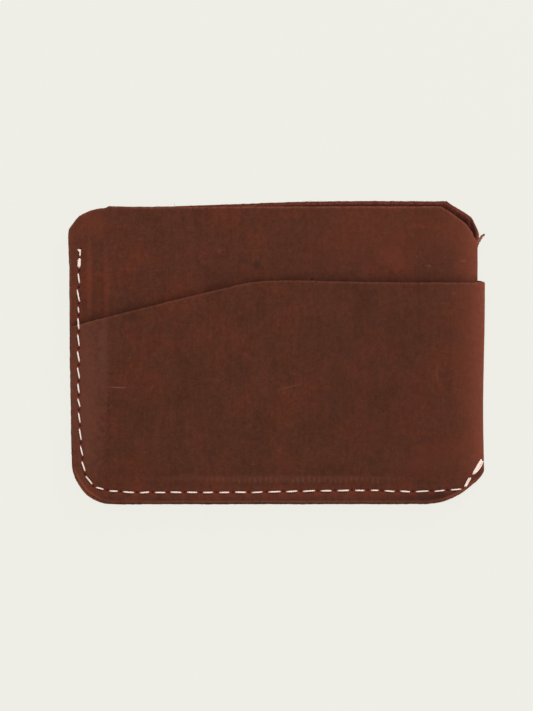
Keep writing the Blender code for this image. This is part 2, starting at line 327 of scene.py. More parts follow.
def pressed(x, y):
    """1 where the seam presses the layers together, falling to 0 inside its slope."""
    side = 1.0 - ease((x - LEFT - PRESSED_MARGIN) / PRESSED_SLOPE)
    base = 1.0 - ease((y - BOTTOM - PRESSED_MARGIN) / PRESSED_SLOPE)
    return 1.0 - (1.0 - side) * (1.0 - base)


def lie(x, y, height, frontness):
    """Where a folded point comes to lie: height is over the middle plane, frontness 1 on the front."""
    near_fold = ease((x - WRAP_FOLD_X + FOLD_SQUASH_RUN) / FOLD_SQUASH_RUN)
    squashed = height * (1.0 - FOLD_SQUASH * near_fold)
    sunk = squashed - PRESS * pressed(x, y) * (2.0 * frontness - 1.0)
    across = np.clip((x - LEFT) / (RIGHT - LEFT), 0.0, 1.0)
    up = np.clip((y - BOTTOM) / (TOP - BOTTOM), 0.0, 1.0)
    dome = np.sin(math.pi * across) * np.sin(math.pi * up) ** 0.7
    uneven = ripple(x + 0.6 * y, 3, 46 * MM, 4, 0.05 * MM)
    uneven = uneven + ripple(y - 0.35 * x, 5, 38 * MM, 4, 0.05 * MM)
    raised = frontness * (BULGE * dome + uneven * (1.0 - near_fold) * (1.0 - 0.7 * pressed(x, y)))
    drawn_in = FOLD_BOW * ease((x - WRAP_FOLD_X + 4 * MM) / (4 * MM)) * falloff(y - WAIST_Y, WAIST_RUN)
    return np.column_stack([x - drawn_in, y, MIDDLE_Z + sunk + raised])


def fold(flat, depth, radius, fold_x):
    """Where points of the flat pattern go, depth being their height over the middle of the leather."""
    quarter = math.pi * radius / 2
    angle = np.clip(flat[:, 0], -quarter, quarter) / radius
    reach = radius + depth
    x = fold_x + reach * np.cos(angle) - np.maximum(np.abs(flat[:, 0]) - quarter, 0.0)
    near_top = falloff(flat[:, 1] - FLARE_Y, FLARE_RUN)
    x = x + FLARE * near_top * ease((x - fold_x) / radius) * ease((0.6 * radius - flat[:, 0]) / radius)
    return lie(x, flat[:, 1], reach * np.sin(angle), (1.0 + np.sin(angle)) / 2)


def panel_places(flat, radius, fold_x):
    """Where points of the flat pattern lie as seen from above."""
    quarter = math.pi * radius / 2
    return np.column_stack([fold_x + quarter - np.abs(flat[:, 0]), flat[:, 1]])


# Leather meshes

def inside(points, ring):
    """Which points lie inside an outline."""
    result = np.zeros(len(points), bool)
    x, y = points[:, 0], points[:, 1]
    for (ax, ay), (bx, by) in zip(ring, np.roll(ring, -1, axis=0)):
        if ay == by:
            continue
        crosses = (ay > y) != (by > y)
        result ^= crosses & (x < (bx - ax) * (y - ay) / (by - ay) + ax)
    return result


def distance_to_ring(points, ring):
    """How far each point lies from the nearest point of an outline, some thousands at a time."""
    nearest = np.full(len(points), 1.0)
    for start in range(0, len(points), 4000):
        part = points[start:start + 4000]
        gaps = part[:, None, :] - ring[None, :, :]
        nearest[start:start + 4000] = np.sqrt((gaps ** 2).sum(axis=2).min(axis=1))
    return nearest


def lattice(low, high, spacing_x, spacing_y):
    """Staggered rows of points over a rectangle."""
    points = []
    rows = int((high[1] - low[1]) / spacing_y) + 1
    columns = int((high[0] - low[0]) / spacing_x) + 1
    for row in range(rows):
        y = low[1] + row * spacing_y
        x = low[0] + (np.arange(columns) + 0.5 * (row % 2)) * spacing_x
        points.append(np.column_stack([x, np.full(columns, y)]))
    return np.vstack(points)


def hole_rings(centres):
    """Rings of points round every needle hole, so that each can sink into the leather."""
    points = []
    for centre in centres:
        points.append(centre)
        for step, radius in enumerate((0.13, 0.24, 0.36, 0.52)):
            for spoke in range(10):
                angle = 2 * math.pi * (spoke + 0.5 * step) / 10
                points.append(centre + np.array((math.cos(angle), math.sin(angle))) * radius * MM)
    return np.array(points)


def grain_points(ring, radius, fold_x, is_sewn):
    """The points inside the outline that carry the leather's outer surface."""
    low, high = ring.min(axis=0), ring.max(axis=0)
    quarter = math.pi * radius / 2
    fold_zone = quarter + 1.5 * MM
    plain = lattice(low, high, GRAIN_SPACING, GRAIN_SPACING * ROW_PITCH)
    plain = plain[np.abs(plain[:, 0]) > fold_zone + 0.4 * MM]
    plain = plain[distance_to_seam(panel_places(plain, radius, fold_x)) > SEAM_BAND + 0.3 * MM]
    bend = lattice((-fold_zone, low[1]), (fold_zone, high[1]), FOLD_SPACING, 0.8 * MM)
    centres = []
    for side in (1.0, -1.0):
        for hole in HOLES:
            if is_sewn(hole) and hole[0] < fold_x:
                centres.append(np.array((side * (fold_x + quarter - hole[0]), hole[1])))
    fine = lattice(low, high, SEAM_SPACING, SEAM_SPACING * ROW_PITCH)
    fine = fine[np.abs(fine[:, 0]) > fold_zone]
    fine = fine[distance_to_seam(panel_places(fine, radius, fold_x)) < SEAM_BAND]
    fine = fine[distance_to_points(fine, centres) > 0.7 * MM]
    points = np.vstack([plain, bend, fine, hole_rings(centres)])
    points = points[inside(points, ring)]
    return points[distance_to_ring(points, ring) > 0.5 * MM]


def flesh_points(ring, radius):
    """The points inside the outline that carry the leather's inner surface."""
    low, high = ring.min(axis=0), ring.max(axis=0)
    fold_zone = math.pi * radius / 2 + 1.5 * MM
    flat = lattice(low, high, FLESH_SPACING, FLESH_SPACING * ROW_PITCH)
    flat = flat[np.abs(flat[:, 0]) > fold_zone + 0.6 * MM]
    bend = lattice((-fold_zone, low[1]), (fold_zone, high[1]), FOLD_SPACING * 1.5, 1.3 * MM)
    points = np.vstack([flat, bend])
    points = points[inside(points, ring)]
    return points[distance_to_ring(points, ring) > 1.2 * MM]


def triangulated(ring, points):
    """Triangles over an outline and the points inside it; the outline's points come first."""
    together = [Vector(p) for p in np.vstack([ring, points])]
    outline = list(range(len(ring)))
    _, _, faces, sources, _, _ = delaunay_2d_cdt(together, [], [outline], 1, 1e-9)
    back = [source[0] if source else None for source in sources]
    kept = [[back[i] for i in face] for face in faces if all(back[i] is not None for i in face)]
    return np.array(kept)


def rim_rows():
    """The raw edge from the grain side to the flesh side: (inset, height) of each row."""
    rows = []
    half = LEATHER / 2
    for step in range(5):
        angle = math.pi / 2 * step / 4
        height = half - EDGE_ROUNDING * (1 - math.cos(angle))
        rows.append((EDGE_ROUNDING * (1 - math.sin(angle)), height))
    for share in (0.3, 0.62):
        rows.append((0.0, half - EDGE_ROUNDING - share * (LEATHER - EDGE_ROUNDING - FLESH_ROUNDING)))
    for step in range(3):
        angle = math.pi / 2 * step / 2
        height = -half + FLESH_ROUNDING * (1 - math.sin(angle))
        rows.append((FLESH_ROUNDING * (1 - math.cos(angle)), height))
    return rows


def sheet_faces(count, row_count, grain_faces, grain_count, flesh_faces, flesh_count):
    """Faces of the two sides and of the rim, whose rows of count points come first."""
    first_grain = count * row_count
    first_flesh = first_grain + grain_count
    grain_index = np.concatenate([np.arange(count), first_grain + np.arange(grain_count)])
    last_row = first_grain - count
    flesh_index = np.concatenate([last_row + np.arange(count), first_flesh + np.arange(flesh_count)])
    faces = [tuple(f) for f in grain_index[grain_faces]] + [tuple(f) for f in flesh_index[flesh_faces]]
    for row in range(row_count - 1):
        a, b = row * count, (row + 1) * count
        for i in range(count):
            j = (i + 1) % count
            faces.append((a + i, a + j, b + j, b + i))
    return faces


def mouth_shadow(places):
    """How much painted shadow darkens the sleeve along the wrap's mouth, and a little above it."""
    over_mouth = (places[:, 1] - mouth_height(places[:, 0])) / MM
    over_mouth = over_mouth + ripple(places[:, 0], 77, 9 * MM, 4, 0.35)
    above = np.maximum(over_mouth, 0.0)
    return (0.8 * falloff(above, 1.25) + 0.2 * falloff(above, 8.0)) * (over_mouth > -1.0)


def smooth_piece(name, points, faces, values):
    """A smooth piece whose faces all point out, with named values stored on its points."""
    mesh = bpy.data.meshes.new(name)
    mesh.from_pydata([tuple(p) for p in points], [], faces)
    shell = bmesh.new()
    shell.from_mesh(mesh)
    bmesh.ops.recalc_face_normals(shell, faces=shell.faces[:])
    shell.to_mesh(mesh)
    shell.free()
    for label, numbers in values.items():
        numbers = np.array(numbers, np.float32)
        kind, field = ("FLOAT_VECTOR", "vector") if numbers.ndim == 2 else ("FLOAT", "value")
        stored = mesh.attributes.new(label, kind, "POINT")
        stored.data.foreach_set(field, numbers.ravel())
    mesh.shade_smooth()
    piece = bpy.data.objects.new(name, mesh)
    bpy.context.scene.collection.objects.link(piece)
    return piece


def leather_piece(name, outline, radius, fold_x, seed, is_sewn, is_under_mouth):
    """Leather cut to an outline, folded at its middle, pressed and pierced along the seam.

    Gives the piece, the flat sheet's width and height, and its area.
    """
    ring, stations = evenly_spaced(outline, RIM_SPACING)
    normals = inward_normals(ring)
    wobble = ripple(stations, seed, 23 * MM, 7, 0.045 * MM)
    wobble = wobble + ripple(stations, seed + 1, 2.3 * MM, 5, 0.018 * MM)
    ring = ring + normals * wobble[:, None]
    rows = rim_rows()
    count = len(ring)
    flats, depths, rims = [], [], []
    for number, (inset, depth) in enumerate(rows):
        fibres = ripple(stations, seed + 10 + number, 1.9 * MM, 5, 0.035 * MM)
        if number in (0, len(rows) - 1):
            fibres = fibres * 0.0
        flats.append(ring + normals * (inset + fibres)[:, None])
        depths.append(np.full(count, depth))
        rims.append(np.full(count, 0.75 if number == 0 else 1.0))
    first, last = flats[0], flats[-1]
    grain = np.vstack([grain_points(first, radius, fold_x, is_sewn), first[::2] + normals[::2] * 0.3 * MM])
    flesh = flesh_points(last, radius)
    for inset in (0.35, 0.75):
        flesh = np.vstack([flesh, last[::2] + normals[::2] * inset * MM])
    faces = sheet_faces(count, len(rows), triangulated(first, grain), len(grain),
                        triangulated(last, flesh), len(flesh))

    first_grain = count * len(rows)
    first_flesh = first_grain + len(grain)
    flat = np.vstack(flats + [grain, flesh])
    depth = np.concatenate(depths + [np.full(len(grain), LEATHER / 2), np.full(len(flesh), -LEATHER / 2)])
    is_grain = np.zeros(len(flat), bool)
    is_grain[:count] = True
    is_grain[first_grain:first_flesh] = True
    places = panel_places(flat, radius, fold_x)
    sewn = is_grain & np.array([is_sewn(place) for place in places])
    to_hole = np.where(sewn, distance_to_points(places, HOLES), 1.0)
    to_seam = np.where(sewn, distance_to_seam(places), 1.0)
    pit, dimple = falloff(to_hole, PIT_REACH), falloff(to_hole, DIMPLE_REACH)
    channel = falloff(to_seam, CHANNEL_REACH)
    to_flesh_edge = distance_to_ring(flesh, last)
    rim = np.concatenate(rims + [falloff(distance_to_ring(grain, first), 0.2 * MM) * 0.7,
                                 falloff(to_flesh_edge, 0.5 * MM)])
    skin = ripple(places[:, 0] + places[:, 1] * 0.3, seed + 40, 4.1 * MM, 6, 0.010 * MM)
    skin += ripple(places[:, 1] - places[:, 0] * 0.2, seed + 41, 5.3 * MM, 6, 0.010 * MM)
    sunk = PIT_DEPTH * pit + DIMPLE_DEPTH * dimple + CHANNEL_DEPTH * channel
    depth = depth - sunk + np.where(is_grain, skin * (1.0 - rim), 0.0)
    folded = fold(flat, depth, radius, fold_x)

    on_back = BACK * MM - places[:, 0]
    pattern = np.column_stack([np.where(flat[:, 0] > 0, places[:, 0], on_back), places[:, 1], depth]) / MM
    inward = ease((0.55 * MM - depth) / (0.6 * MM))
    flesh_side = inward * (1.0 - ease((np.abs(flat[:, 0]) - 0.6 * radius) / (1.5 * MM)))
    flesh_side[first_flesh:] = 1.0
    flesh_side[is_grain] = 0.0
    # lip: the flesh side's paler cut edge, partly fibre and partly a painted highlight
    lip = np.zeros(len(flat))
    lip[first_flesh:] = falloff(to_flesh_edge, 0.62 * MM)
    to_fold = folded[:, 0].max() - folded[:, 0]
    # tip: where a painted highlight lightens the fold's outermost edge
    tip = falloff(np.maximum(to_fold, 0.0), 0.9 * MM)
    at_fold = np.exp(-((np.maximum(to_fold - 1.3 * MM, 0.0) / (3.6 * MM)) ** 1.2))
    # painted shadow on the sleeve along the wrap's mouth
    painted_mouth_shade = np.where(is_grain & (flat[:, 0] > 0), mouth_shadow(places), 0.0) * is_under_mouth
    # pit: how much painted shade darkens each needle hole
    open_pit = pit * np.where(places[:, 0] < LEFT + 6 * MM, 0.8, 0.3)  # the bottom's holes closed up
    piece = smooth_piece(name, folded, faces, {
        "pattern": pattern, "rim": rim, "flesh": flesh_side, "lip": lip, "fold": at_fold, "tip": tip,
        "pit": open_pit, "dimple": dimple, "channel": channel, "painted_mouth_shade": painted_mouth_shade,
    })
    size = ring.max(axis=0) - ring.min(axis=0)
    return piece, (float(size[0]), float(size[1])), float(abs(signed_area(ring)))


# Thread

def stitch_profile(length, start_sink, end_sink):
    """(distance along the stitch, height over the leather, thickness share) of one stitch."""
    rows = [(0.10 * MM, -1.5 * MM, 0.35), (0.12 * MM, -1.0 * MM, 0.45)]
    count = max(6, int((length - 0.4 * MM) / (0.13 * MM)))
    for step in range(count + 1):
        along = 0.2 * MM + (length - 0.4 * MM) * step / count
        rises = (along - 0.1 * MM) / start_sink, (length - along - 0.1 * MM) / end_sink
        rise = float(ease(np.array(min(rises))))
        height = -DIVE + (DIVE + CROWN * THREAD_RADIUS) * rise
        rows.append((along, height, 0.55 + 0.45 * rise))
    rows += [(length - 0.12 * MM, -1.0 * MM, 0.45), (length - 0.10 * MM, -1.5 * MM, 0.35)]
    return rows


def stitch_places(start, end, slant, bow, lift, sinks, is_back):
    """A stitch's centreline: its ends lie to either side of the seam, and it may bow sideways."""
    way = end - start
    length = float(np.linalg.norm(way))
    way = way / length
    side = np.array((-way[1], way[0]))
    points, shares = [], []
    for along, height, share in stitch_profile(length, *sinks):
        t = along / length
        across = slant * (2.0 * t - 1.0) + bow * 4.0 * t * (1.0 - t)
        place = start + way * along + side * across
        points.append((place[0], place[1], height + lift * 4.0 * t * (1.0 - t)))
        shares.append(share)
    points = np.array(points)
    edge = mouth_height(points[:, 0])
    on_wrap = ease((edge + STEP_MARGIN * 0.75 - points[:, 1]) / STEP_MARGIN)
    outer = SLEEVE_RADIUS + LEATHER / 2 + on_wrap * (WRAP_RADIUS - SLEEVE_RADIUS)
    sideways = -1.0 if is_back else 1.0
    x = points[:, 0]
    over_fold = np.maximum(x - WRAP_FOLD_X, 0.0) / (WRAP_RADIUS + LEATHER / 2)
    drop = 1.0 - np.sqrt(np.maximum(1.0 - np.minimum(over_fold, 0.999) ** 2, 0.0))
    height = sideways * (outer * (1.0 - drop) + points[:, 2])
    frontness = np.full(len(x), 0.0 if is_back else 1.0)
    return lie(x, points[:, 1], height, frontness), shares


def swept(strands, points, radii, twist, sides=12):
    """Adds one twisted three-ply strand along points to strands, a list of (verts, faces, plies)."""
    verts, faces, plies = [], [], []
    ways = np.gradient(points, axis=0)
    ways /= np.maximum(np.linalg.norm(ways, axis=1), 1e-12)[:, None]
    across = np.cross(ways[0], (0.0, 0.0, 1.0))
    if np.linalg.norm(across) < 1e-3:
        across = np.cross(ways[0], (1.0, 0.0, 0.0))
    travelled = 0.0
    for number, (point, way, radius) in enumerate(zip(points, ways, radii)):
        across = across - way * np.dot(across, way)
        across = across / np.linalg.norm(across)
        up = np.cross(way, across)
        if number:
            travelled += float(np.linalg.norm(point - points[number - 1]))
        turn = 2 * math.pi * travelled / twist
        for step in range(sides):
            angle = 2 * math.pi * step / sides
            ply = math.cos(3 * (angle - turn))
            reach = radius * (0.9 + 0.13 * ply)
            verts.append(point + across * (reach * math.cos(angle)) + up * (reach * math.sin(angle)))
            plies.append(0.5 + 0.5 * ply)
    for row in range(len(points) - 1):
        for step in range(sides):
            after = (step + 1) % sides
            a, b = row * sides, (row + 1) * sides
            faces.append((a + step, a + after, b + after, b + step))
    faces.append(tuple(reversed(range(sides))))
    faces.append(tuple((len(points) - 1) * sides + step for step in range(sides)))
    strands.append((verts, faces, plies))


def joined_strands(name, strands):
    """One piece made of several strands."""
    verts, faces, plies = [], [], []
    for strand_verts, strand_faces, strand_plies in strands:
        start = len(verts)
        verts += [tuple(v) for v in strand_verts]
        faces += [tuple(start + i for i in face) for face in strand_faces]
        plies += strand_plies
    return smooth_piece(name, verts, faces, {"ply": plies})


def back_stitched(number, count, start, end):
    """The strands of a stitch that was sewn over twice or lies unevenly, or none for a plain one.

    Each is (start, end, slant, bow, lift, sinks), and is written in millimetres.
    """
    def beside(place, x, y):
        return place + np.array((x, y)) * MM

    def strand(first, last, slant=0.0, bow=0.0, lift=0.0, sinks=(0.3, 0.3)):
        return first, last, slant * MM, bow * MM, lift * MM, (sinks[0] * MM, sinks[1] * MM)

    if number == 0:
        return [strand(beside(start, -0.78, 0.0), beside(start, 0.42, -0.05)),
                strand(beside(start, -0.62, -0.28), beside(start, 0.4, -0.3)),
                strand(beside(start, 0.08, 0.1), beside(end, 0.1, 0.35))]
    if number == 1:
        return [strand(beside(start, -0.14, 0.0), beside(end, -0.14, 0.75), bow=-0.05),
                strand(beside(start, 0.0, 0.2), beside(end, 0.04, 0.55), lift=0.06),
                strand(beside(start, 0.13, 0.1), beside(end, 0.2, 0.8), bow=0.03)]
    if number == 2:
        return [strand(start, beside(end, 0.05, 0.15), slant=0.3, sinks=(1.15, 1.4))]
    if number == 4:
        return [strand(start, end, slant=0.18, sinks=(1.25, 1.15))]
    if number == count - 2:
        return [strand(beside(start, -0.05, 0.05), beside(end, -0.35, -0.1), bow=0.02, sinks=(0.7, 0.7)),
                strand(beside(start, 0.28, 0.1), beside(end, 0.05, -0.05), bow=-0.02, sinks=(0.7, 0.7))]
    if number == count - 1:
        return [strand(start, beside(end, 0.0, 0.4), bow=0.02, sinks=(1.1, 0.7)),
                strand(start, beside(end, 0.02, 0.3), bow=-0.15, lift=0.05, sinks=(0.8, 0.7)),
                strand(start, beside(end, 0.08, 0.12), bow=-0.3, lift=0.04, sinks=(0.9, 0.8)),
                strand(start, beside(end, 0.3, -0.15), bow=-0.44, sinks=(1.2, 0.3))]
    return []


def sewn_line(name, is_back, seed):
    """Every stitch of the seam on one side, doubled where it was back-stitched."""
    draw = random.Random(seed)
    strands = []
    runs = list(zip(HOLES, HOLES[1:] + [LAST_HOLE]))
    for number, (start, end) in enumerate(runs):
        along_side = abs(end[0] - start[0]) < abs(end[1] - start[1])
        if along_side:
            slant = SIDE_SLANT * draw.uniform(0.6, 1.4)
        else:
            slant = BASE_SLANT * draw.uniform(-1.6, 3.2)
        if is_back:
            slant = -slant
        sink = (SIDE_SINK if along_side else BASE_SINK) * draw.uniform(0.85, 1.15)
        bow = draw.uniform(-0.06, 0.06) * MM
        lift = draw.uniform(0.0, 0.06) * MM
        thickness = THREAD_RADIUS * draw.uniform(0.92, 1.06)
        if number >= len(runs) - LAST_STITCHES:
            thickness *= LAST_THINNING
        copies = back_stitched(number, len(runs), start, end)
        plain = [(start, end, slant, bow, lift, (sink, sink))]
        for first, last, lean, curve, rise, sinks in copies or plain:
            points, shares = stitch_places(first, last, lean, curve, rise, sinks, is_back)
            swept(strands, points, [thickness * share for share in shares], TWIST)
    return joined_strands(name, strands)


# Materials

def node(tree, kind, **settings):
    made = tree.nodes.new(kind)
    for label, value in settings.items():
        setattr(made, label, value)
    return made


def feed(tree, socket, value):
    """Links an output to a socket, or sets the socket's own value."""
    if isinstance(value, bpy.types.NodeSocket):
        tree.links.new(value, socket)
    else:
        socket.default_value = value


def maths(tree, operation, first, second=0.0, third=0.0, clamp=False):
    made = node(tree, "ShaderNodeMath", operation=operation, use_clamp=clamp)
    for socket, value in zip(made.inputs, (first, second, third)):
        feed(tree, socket, value)
    return made.outputs[0]


def times(tree, first, second, clamp=False):
    return maths(tree, "MULTIPLY", first, second, clamp=clamp)


def plus(tree, first, second, clamp=False):
    return maths(tree, "ADD", first, second, clamp=clamp)


def vector_maths(tree, operation, first, second=(0, 0, 0)):
    made = node(tree, "ShaderNodeVectorMath", operation=operation)
    feed(tree, made.inputs[0], first)
    feed(tree, made.inputs[1], second)
    return made.outputs


def moved(tree, place, offset):
    return vector_maths(tree, "ADD", place, offset)[0]


def coordinates(tree, place):
    """The X, Y and Z of a place."""
    parts = node(tree, "ShaderNodeSeparateXYZ")
    feed(tree, parts.inputs[0], place)
    return parts.outputs


def mixed(tree, factor, first, second, mode="MIX"):
    made = node(tree, "ShaderNodeMix", data_type="RGBA", blend_type=mode)
    feed(tree, made.inputs["Factor"], factor)
    feed(tree, made.inputs[6], first)
    feed(tree, made.inputs[7], second)
    return made.outputs[2]


def spread(tree, value, low, high, to_low=0.0, to_high=1.0):
    """Maps low..high smoothly to to_low..to_high, and clamps it."""
    made = node(tree, "ShaderNodeMapRange", interpolation_type="SMOOTHSTEP")
    for socket, number in zip(made.inputs, (value, low, high, to_low, to_high)):
        feed(tree, socket, number)
    return made.outputs[0]


def noise(tree, place, stretch, detail, roughness=0.55, distortion=0.0):
    """Noise over the pattern; stretch gives its features per millimetre along each axis."""
    made = node(tree, "ShaderNodeTexNoise")
    feed(tree, made.inputs["Vector"], vector_maths(tree, "MULTIPLY", place, stretch)[0])
    settings = {"Scale": 1.0, "Detail": detail, "Roughness": roughness, "Distortion": distortion}
    for label, value in settings.items():
        made.inputs[label].default_value = value
    return made.outputs["Fac"]


def new_group(name, inputs, outputs):
    """A node group with named sockets, with its input and output nodes."""
    tree = bpy.data.node_groups.new(name, "ShaderNodeTree")
    for label, kind, value in inputs:
        socket = tree.interface.new_socket(label, in_out="INPUT", socket_type=kind)
        socket.default_value = value
    for label, kind in outputs:
        tree.interface.new_socket(label, in_out="OUTPUT", socket_type=kind)
    return tree, node(tree, "NodeGroupInput").outputs, node(tree, "NodeGroupOutput").inputs


def placed(tree, group, **values):
    """A group in a tree, with its inputs fed; an underscore stands for a space."""
    made = node(tree, "ShaderNodeGroup", node_tree=group)
    for label, value in values.items():
        feed(tree, made.inputs[label.replace("_", " ")], value)
    return made.outputs


PLACE, COLOUR, NUMBER = "NodeSocketVector", "NodeSocketColor", "NodeSocketFloat"


# Small flecks in the hide: offset of their noise, features per millimetre, where it sets in
# and is full, strength and tint
FLECKS = [
    (40.0, 0.8, 0.62, 0.72, 0.28, (102, 46, 32)),
    (95.0, 0.9, 0.64, 0.74, 0.32, (60, 40, 31)),
    (150.0, 1.7, 0.68, 0.76, 0.26, (110, 50, 38)),
    (220.0, 2.2, 0.71, 0.78, 0.35, (118, 82, 66)),
    (270.0, 1.8, 0.68, 0.77, 0.32, (52, 32, 25)),
]


def hide_tone_group():
    """Uneven dye in oiled leather: warm clouds, deeper patches, faint streaks and speckle."""
    tree, given, result = new_group(
        "hide tone",
        [("Pattern", PLACE, (0, 0, 0)), ("Plain", COLOUR, (1, 1, 1, 1)), ("Warm", COLOUR, (1, 1, 1, 1)),
         ("Deep", COLOUR, (0, 0, 0, 1)), ("Streaks", NUMBER, 1.0)],
        [("Colour", COLOUR)],
    )
    place = given["Pattern"]
    clouds = spread(tree, noise(tree, place, (0.075, 0.075, 0.2), 7.0, 0.68, 0.6), 0.44, 0.68)
    colour = mixed(tree, times(tree, clouds, 0.7), given["Plain"], given["Warm"])
    patches = noise(tree, moved(tree, place, (310.0, 75.0, 40.0)), (0.12, 0.10, 0.2), 6.0, 0.65, 0.5)
    patches = spread(tree, patches, 0.45, 0.68)
    colour = mixed(tree, times(tree, patches, 0.55), colour, given["Deep"])
    warm_flecks = noise(tree, moved(tree, place, (90.0, 210.0, 7.0)), (1.6, 1.5, 1.5), 4.0, 0.75)
    colour = mixed(tree, spread(tree, warm_flecks, 0.54, 0.72, 0.0, 0.35), colour, given["Warm"])
    scuffs = noise(tree, place, (0.4, 3.4, 1.0), 3.0, 0.6, 0.6)
    colour = mixed(tree, spread(tree, scuffs, 0.63, 0.74, 0.0, 0.3), colour, shade(112, 72, 58))
    for offset, size, low, high, strength, tint in FLECKS:
        flecks = noise(tree, moved(tree, place, (offset, 3 * offset, 5.0)), (size, size, size), 2.0, 0.6)
        colour = mixed(tree, spread(tree, flecks, low, high, 0.0, strength), colour, shade(*tint))

    # how much lighter or darker each place is than that colour
    fine = noise(tree, place, (1.9, 0.16, 0.5), 4.0, 0.65)
    finer = noise(tree, place, (0.7, 0.05, 0.5), 3.0, 0.6)
    lines = plus(tree, times(tree, fine, 0.6), times(tree, finer, 0.4))
    lines = spread(tree, lines, 0.3, 0.7, -0.075, 0.075)
    mottle = spread(tree, noise(tree, place, (0.8, 0.66, 1.0), 3.0, 0.7), 0.3, 0.7, -0.105, 0.105)
    speckle = spread(tree, noise(tree, place, (2.1, 1.9, 2.0), 4.0, 0.85), 0.3, 0.7, -0.16, 0.16)
    by_raw_side = spread(tree, coordinates(tree, place)["X"], -46.0, -34.0, 1.45, 1.0)
    uneven = plus(tree, times(tree, speckle, by_raw_side), mottle)
    uneven = plus(tree, times(tree, lines, given["Streaks"]), uneven)
    scaled = node(tree, "ShaderNodeVectorMath", operation="SCALE")
    feed(tree, scaled.inputs[0], colour)
    feed(tree, scaled.inputs["Scale"], plus(tree, uneven, 1.0))
    feed(tree, result["Colour"], scaled.outputs[0])
    return tree


def nap_group():
    """The brushed nap: a fine matte pile with pores and faint rubbed streaks."""
    tree, given, result = new_group("nap", [("Pattern", PLACE, (0, 0, 0))], [("Height", NUMBER)])
    place = given["Pattern"]
    pile = noise(tree, place, (6.0, 5.0, 5.0), 3.0, 0.65)
    streaks = noise(tree, place, (2.2, 0.25, 1.0), 3.0, 0.6)
    creases = noise(tree, place, (0.5, 0.4, 0.5), 4.0, 0.6)
    height = plus(tree, times(tree, pile, 0.5), times(tree, streaks, 0.35))
    feed(tree, result["Height"], plus(tree, height, times(tree, creases, 0.6)))
    return tree


def rubbed_and_highlight_group():
    """A lighter colour, broken up by its grain, where the leather is rubbed or stretched and where a
    painted highlight lies.
    """
    tree, given, result = new_group(
        "rubbed leather and painted highlight",
        [("Pattern", PLACE, (0, 0, 0)), ("Colour", COLOUR, (1, 1, 1, 1)), ("Worn", COLOUR, (1, 1, 1, 1)),
         ("Where", NUMBER, 0.0), ("Patchiness", NUMBER, 0.5)],
        [("Colour", COLOUR)],
    )
    broken = spread(tree, noise(tree, given["Pattern"], (1.1, 0.7, 1.4), 4.0, 0.7), 0.35, 0.62)
    kept = maths(tree, "SUBTRACT", 1.0, given["Patchiness"])
    strength = plus(tree, kept, times(tree, broken, given["Patchiness"]))
    factor = times(tree, strength, given["Where"], clamp=True)
    feed(tree, result["Colour"], mixed(tree, factor, given["Colour"], given["Worn"]))
    return tree


def mark_group():
    """A soft-edged mark at a place on the pattern: a blotch, a cloud, a scratch, or a band of painted shade
    or painted highlight.
    """
    tree, given, result = new_group(
        "mark",
        [("Pattern", PLACE, (0, 0, 0)), ("Centre", PLACE, (0, 0, 0)), ("Size", PLACE, (1, 1, 1)),
         ("Turn", NUMBER, 0.0)],
        [("Where", NUMBER)],
    )
    away = vector_maths(tree, "SUBTRACT", given["Pattern"], given["Centre"])[0]
    flat = vector_maths(tree, "MULTIPLY", away, (1, 1, 0))[0]
    turned = node(tree, "ShaderNodeVectorRotate", rotation_type="Z_AXIS")
    feed(tree, turned.inputs["Vector"], flat)
    feed(tree, turned.inputs["Angle"], given["Turn"])
    scaled = vector_maths(tree, "DIVIDE", turned.outputs[0], given["Size"])[0]
    length = vector_maths(tree, "LENGTH", scaled)["Value"]
    ragged = maths(tree, "SUBTRACT", noise(tree, given["Pattern"], (0.9, 0.9, 0.9), 3.0, 0.6), 0.5)
    length = plus(tree, length, times(tree, ragged, 0.9))
    feed(tree, result["Where"], spread(tree, length, 0.25, 1.1, 1.0, 0.0))
    return tree


def feed_marks_group():
    """A row of faint ticks that the machine's feed pressed beside the seam."""
    tree, given, result = new_group(
        "feed marks",
        [("Pattern", PLACE, (0, 0, 0)), ("Height", NUMBER, -31.0), ("Spacing", NUMBER, 1.3)],
        [("Where", NUMBER)],
    )
    x, y, _ = coordinates(tree, given["Pattern"])
    across = maths(tree, "DIVIDE", x, given["Spacing"])
    ticks = spread(tree, maths(tree, "COSINE", times(tree, across, 2 * math.pi)), 0.1, 0.95)
    above = maths(tree, "ABSOLUTE", maths(tree, "SUBTRACT", y, given["Height"]))
    row = spread(tree, above, 0.45, 0.95, 1.0, 0.0)
    run = maths(tree, "ABSOLUTE", maths(tree, "SUBTRACT", x, 6.0))
    ends = spread(tree, run, 18.0, 26.0, 1.0, 0.0)
    faint = spread(tree, noise(tree, given["Pattern"], (0.35, 0.8, 0.5), 2.0), 0.35, 0.6)
    feed(tree, result["Where"], times(tree, times(tree, ticks, row), times(tree, ends, faint)))
    return tree


HIDE_TONE, NAP, RUBBED_AND_HIGHLIT, MARK, FEED_MARKS = (
    hide_tone_group(), nap_group(), rubbed_and_highlight_group(), mark_group(), feed_marks_group())


def named_value(tree, label):
    """A value stored on the mesh's points."""
    made = node(tree, "ShaderNodeAttribute", attribute_name=label)
    return made.outputs["Fac"]


def blank_material(name):
    made = bpy.data.materials.new(name)
    made.use_nodes = True
    return made, made.node_tree, made.node_tree.nodes["Principled BSDF"]


def in_millimetres(tree):
    """The place on a piece, in millimetres."""
    place = node(tree, "ShaderNodeTexCoord").outputs["Object"]
    return vector_maths(tree, "MULTIPLY", place, (1000, 1000, 1000))[0]


def set_bump(tree, shader, height, strength, distance):
    bump = node(tree, "ShaderNodeBump")
    bump.inputs["Strength"].default_value = strength
    bump.inputs["Distance"].default_value = distance
    feed(tree, bump.inputs["Height"], height)
    feed(tree, shader.inputs["Normal"], bump.outputs["Normal"])


def marked(tree, pattern, colour, centre, size, turn, tint, strength):
    """A colour with one soft mark over it; strength is a number or a mask."""
    where = placed(tree, MARK, Pattern=pattern, Centre=(*centre, 0), Size=(*size, 1), Turn=turn)["Where"]
    return mixed(tree, times(tree, where, strength), colour, shade(*tint))


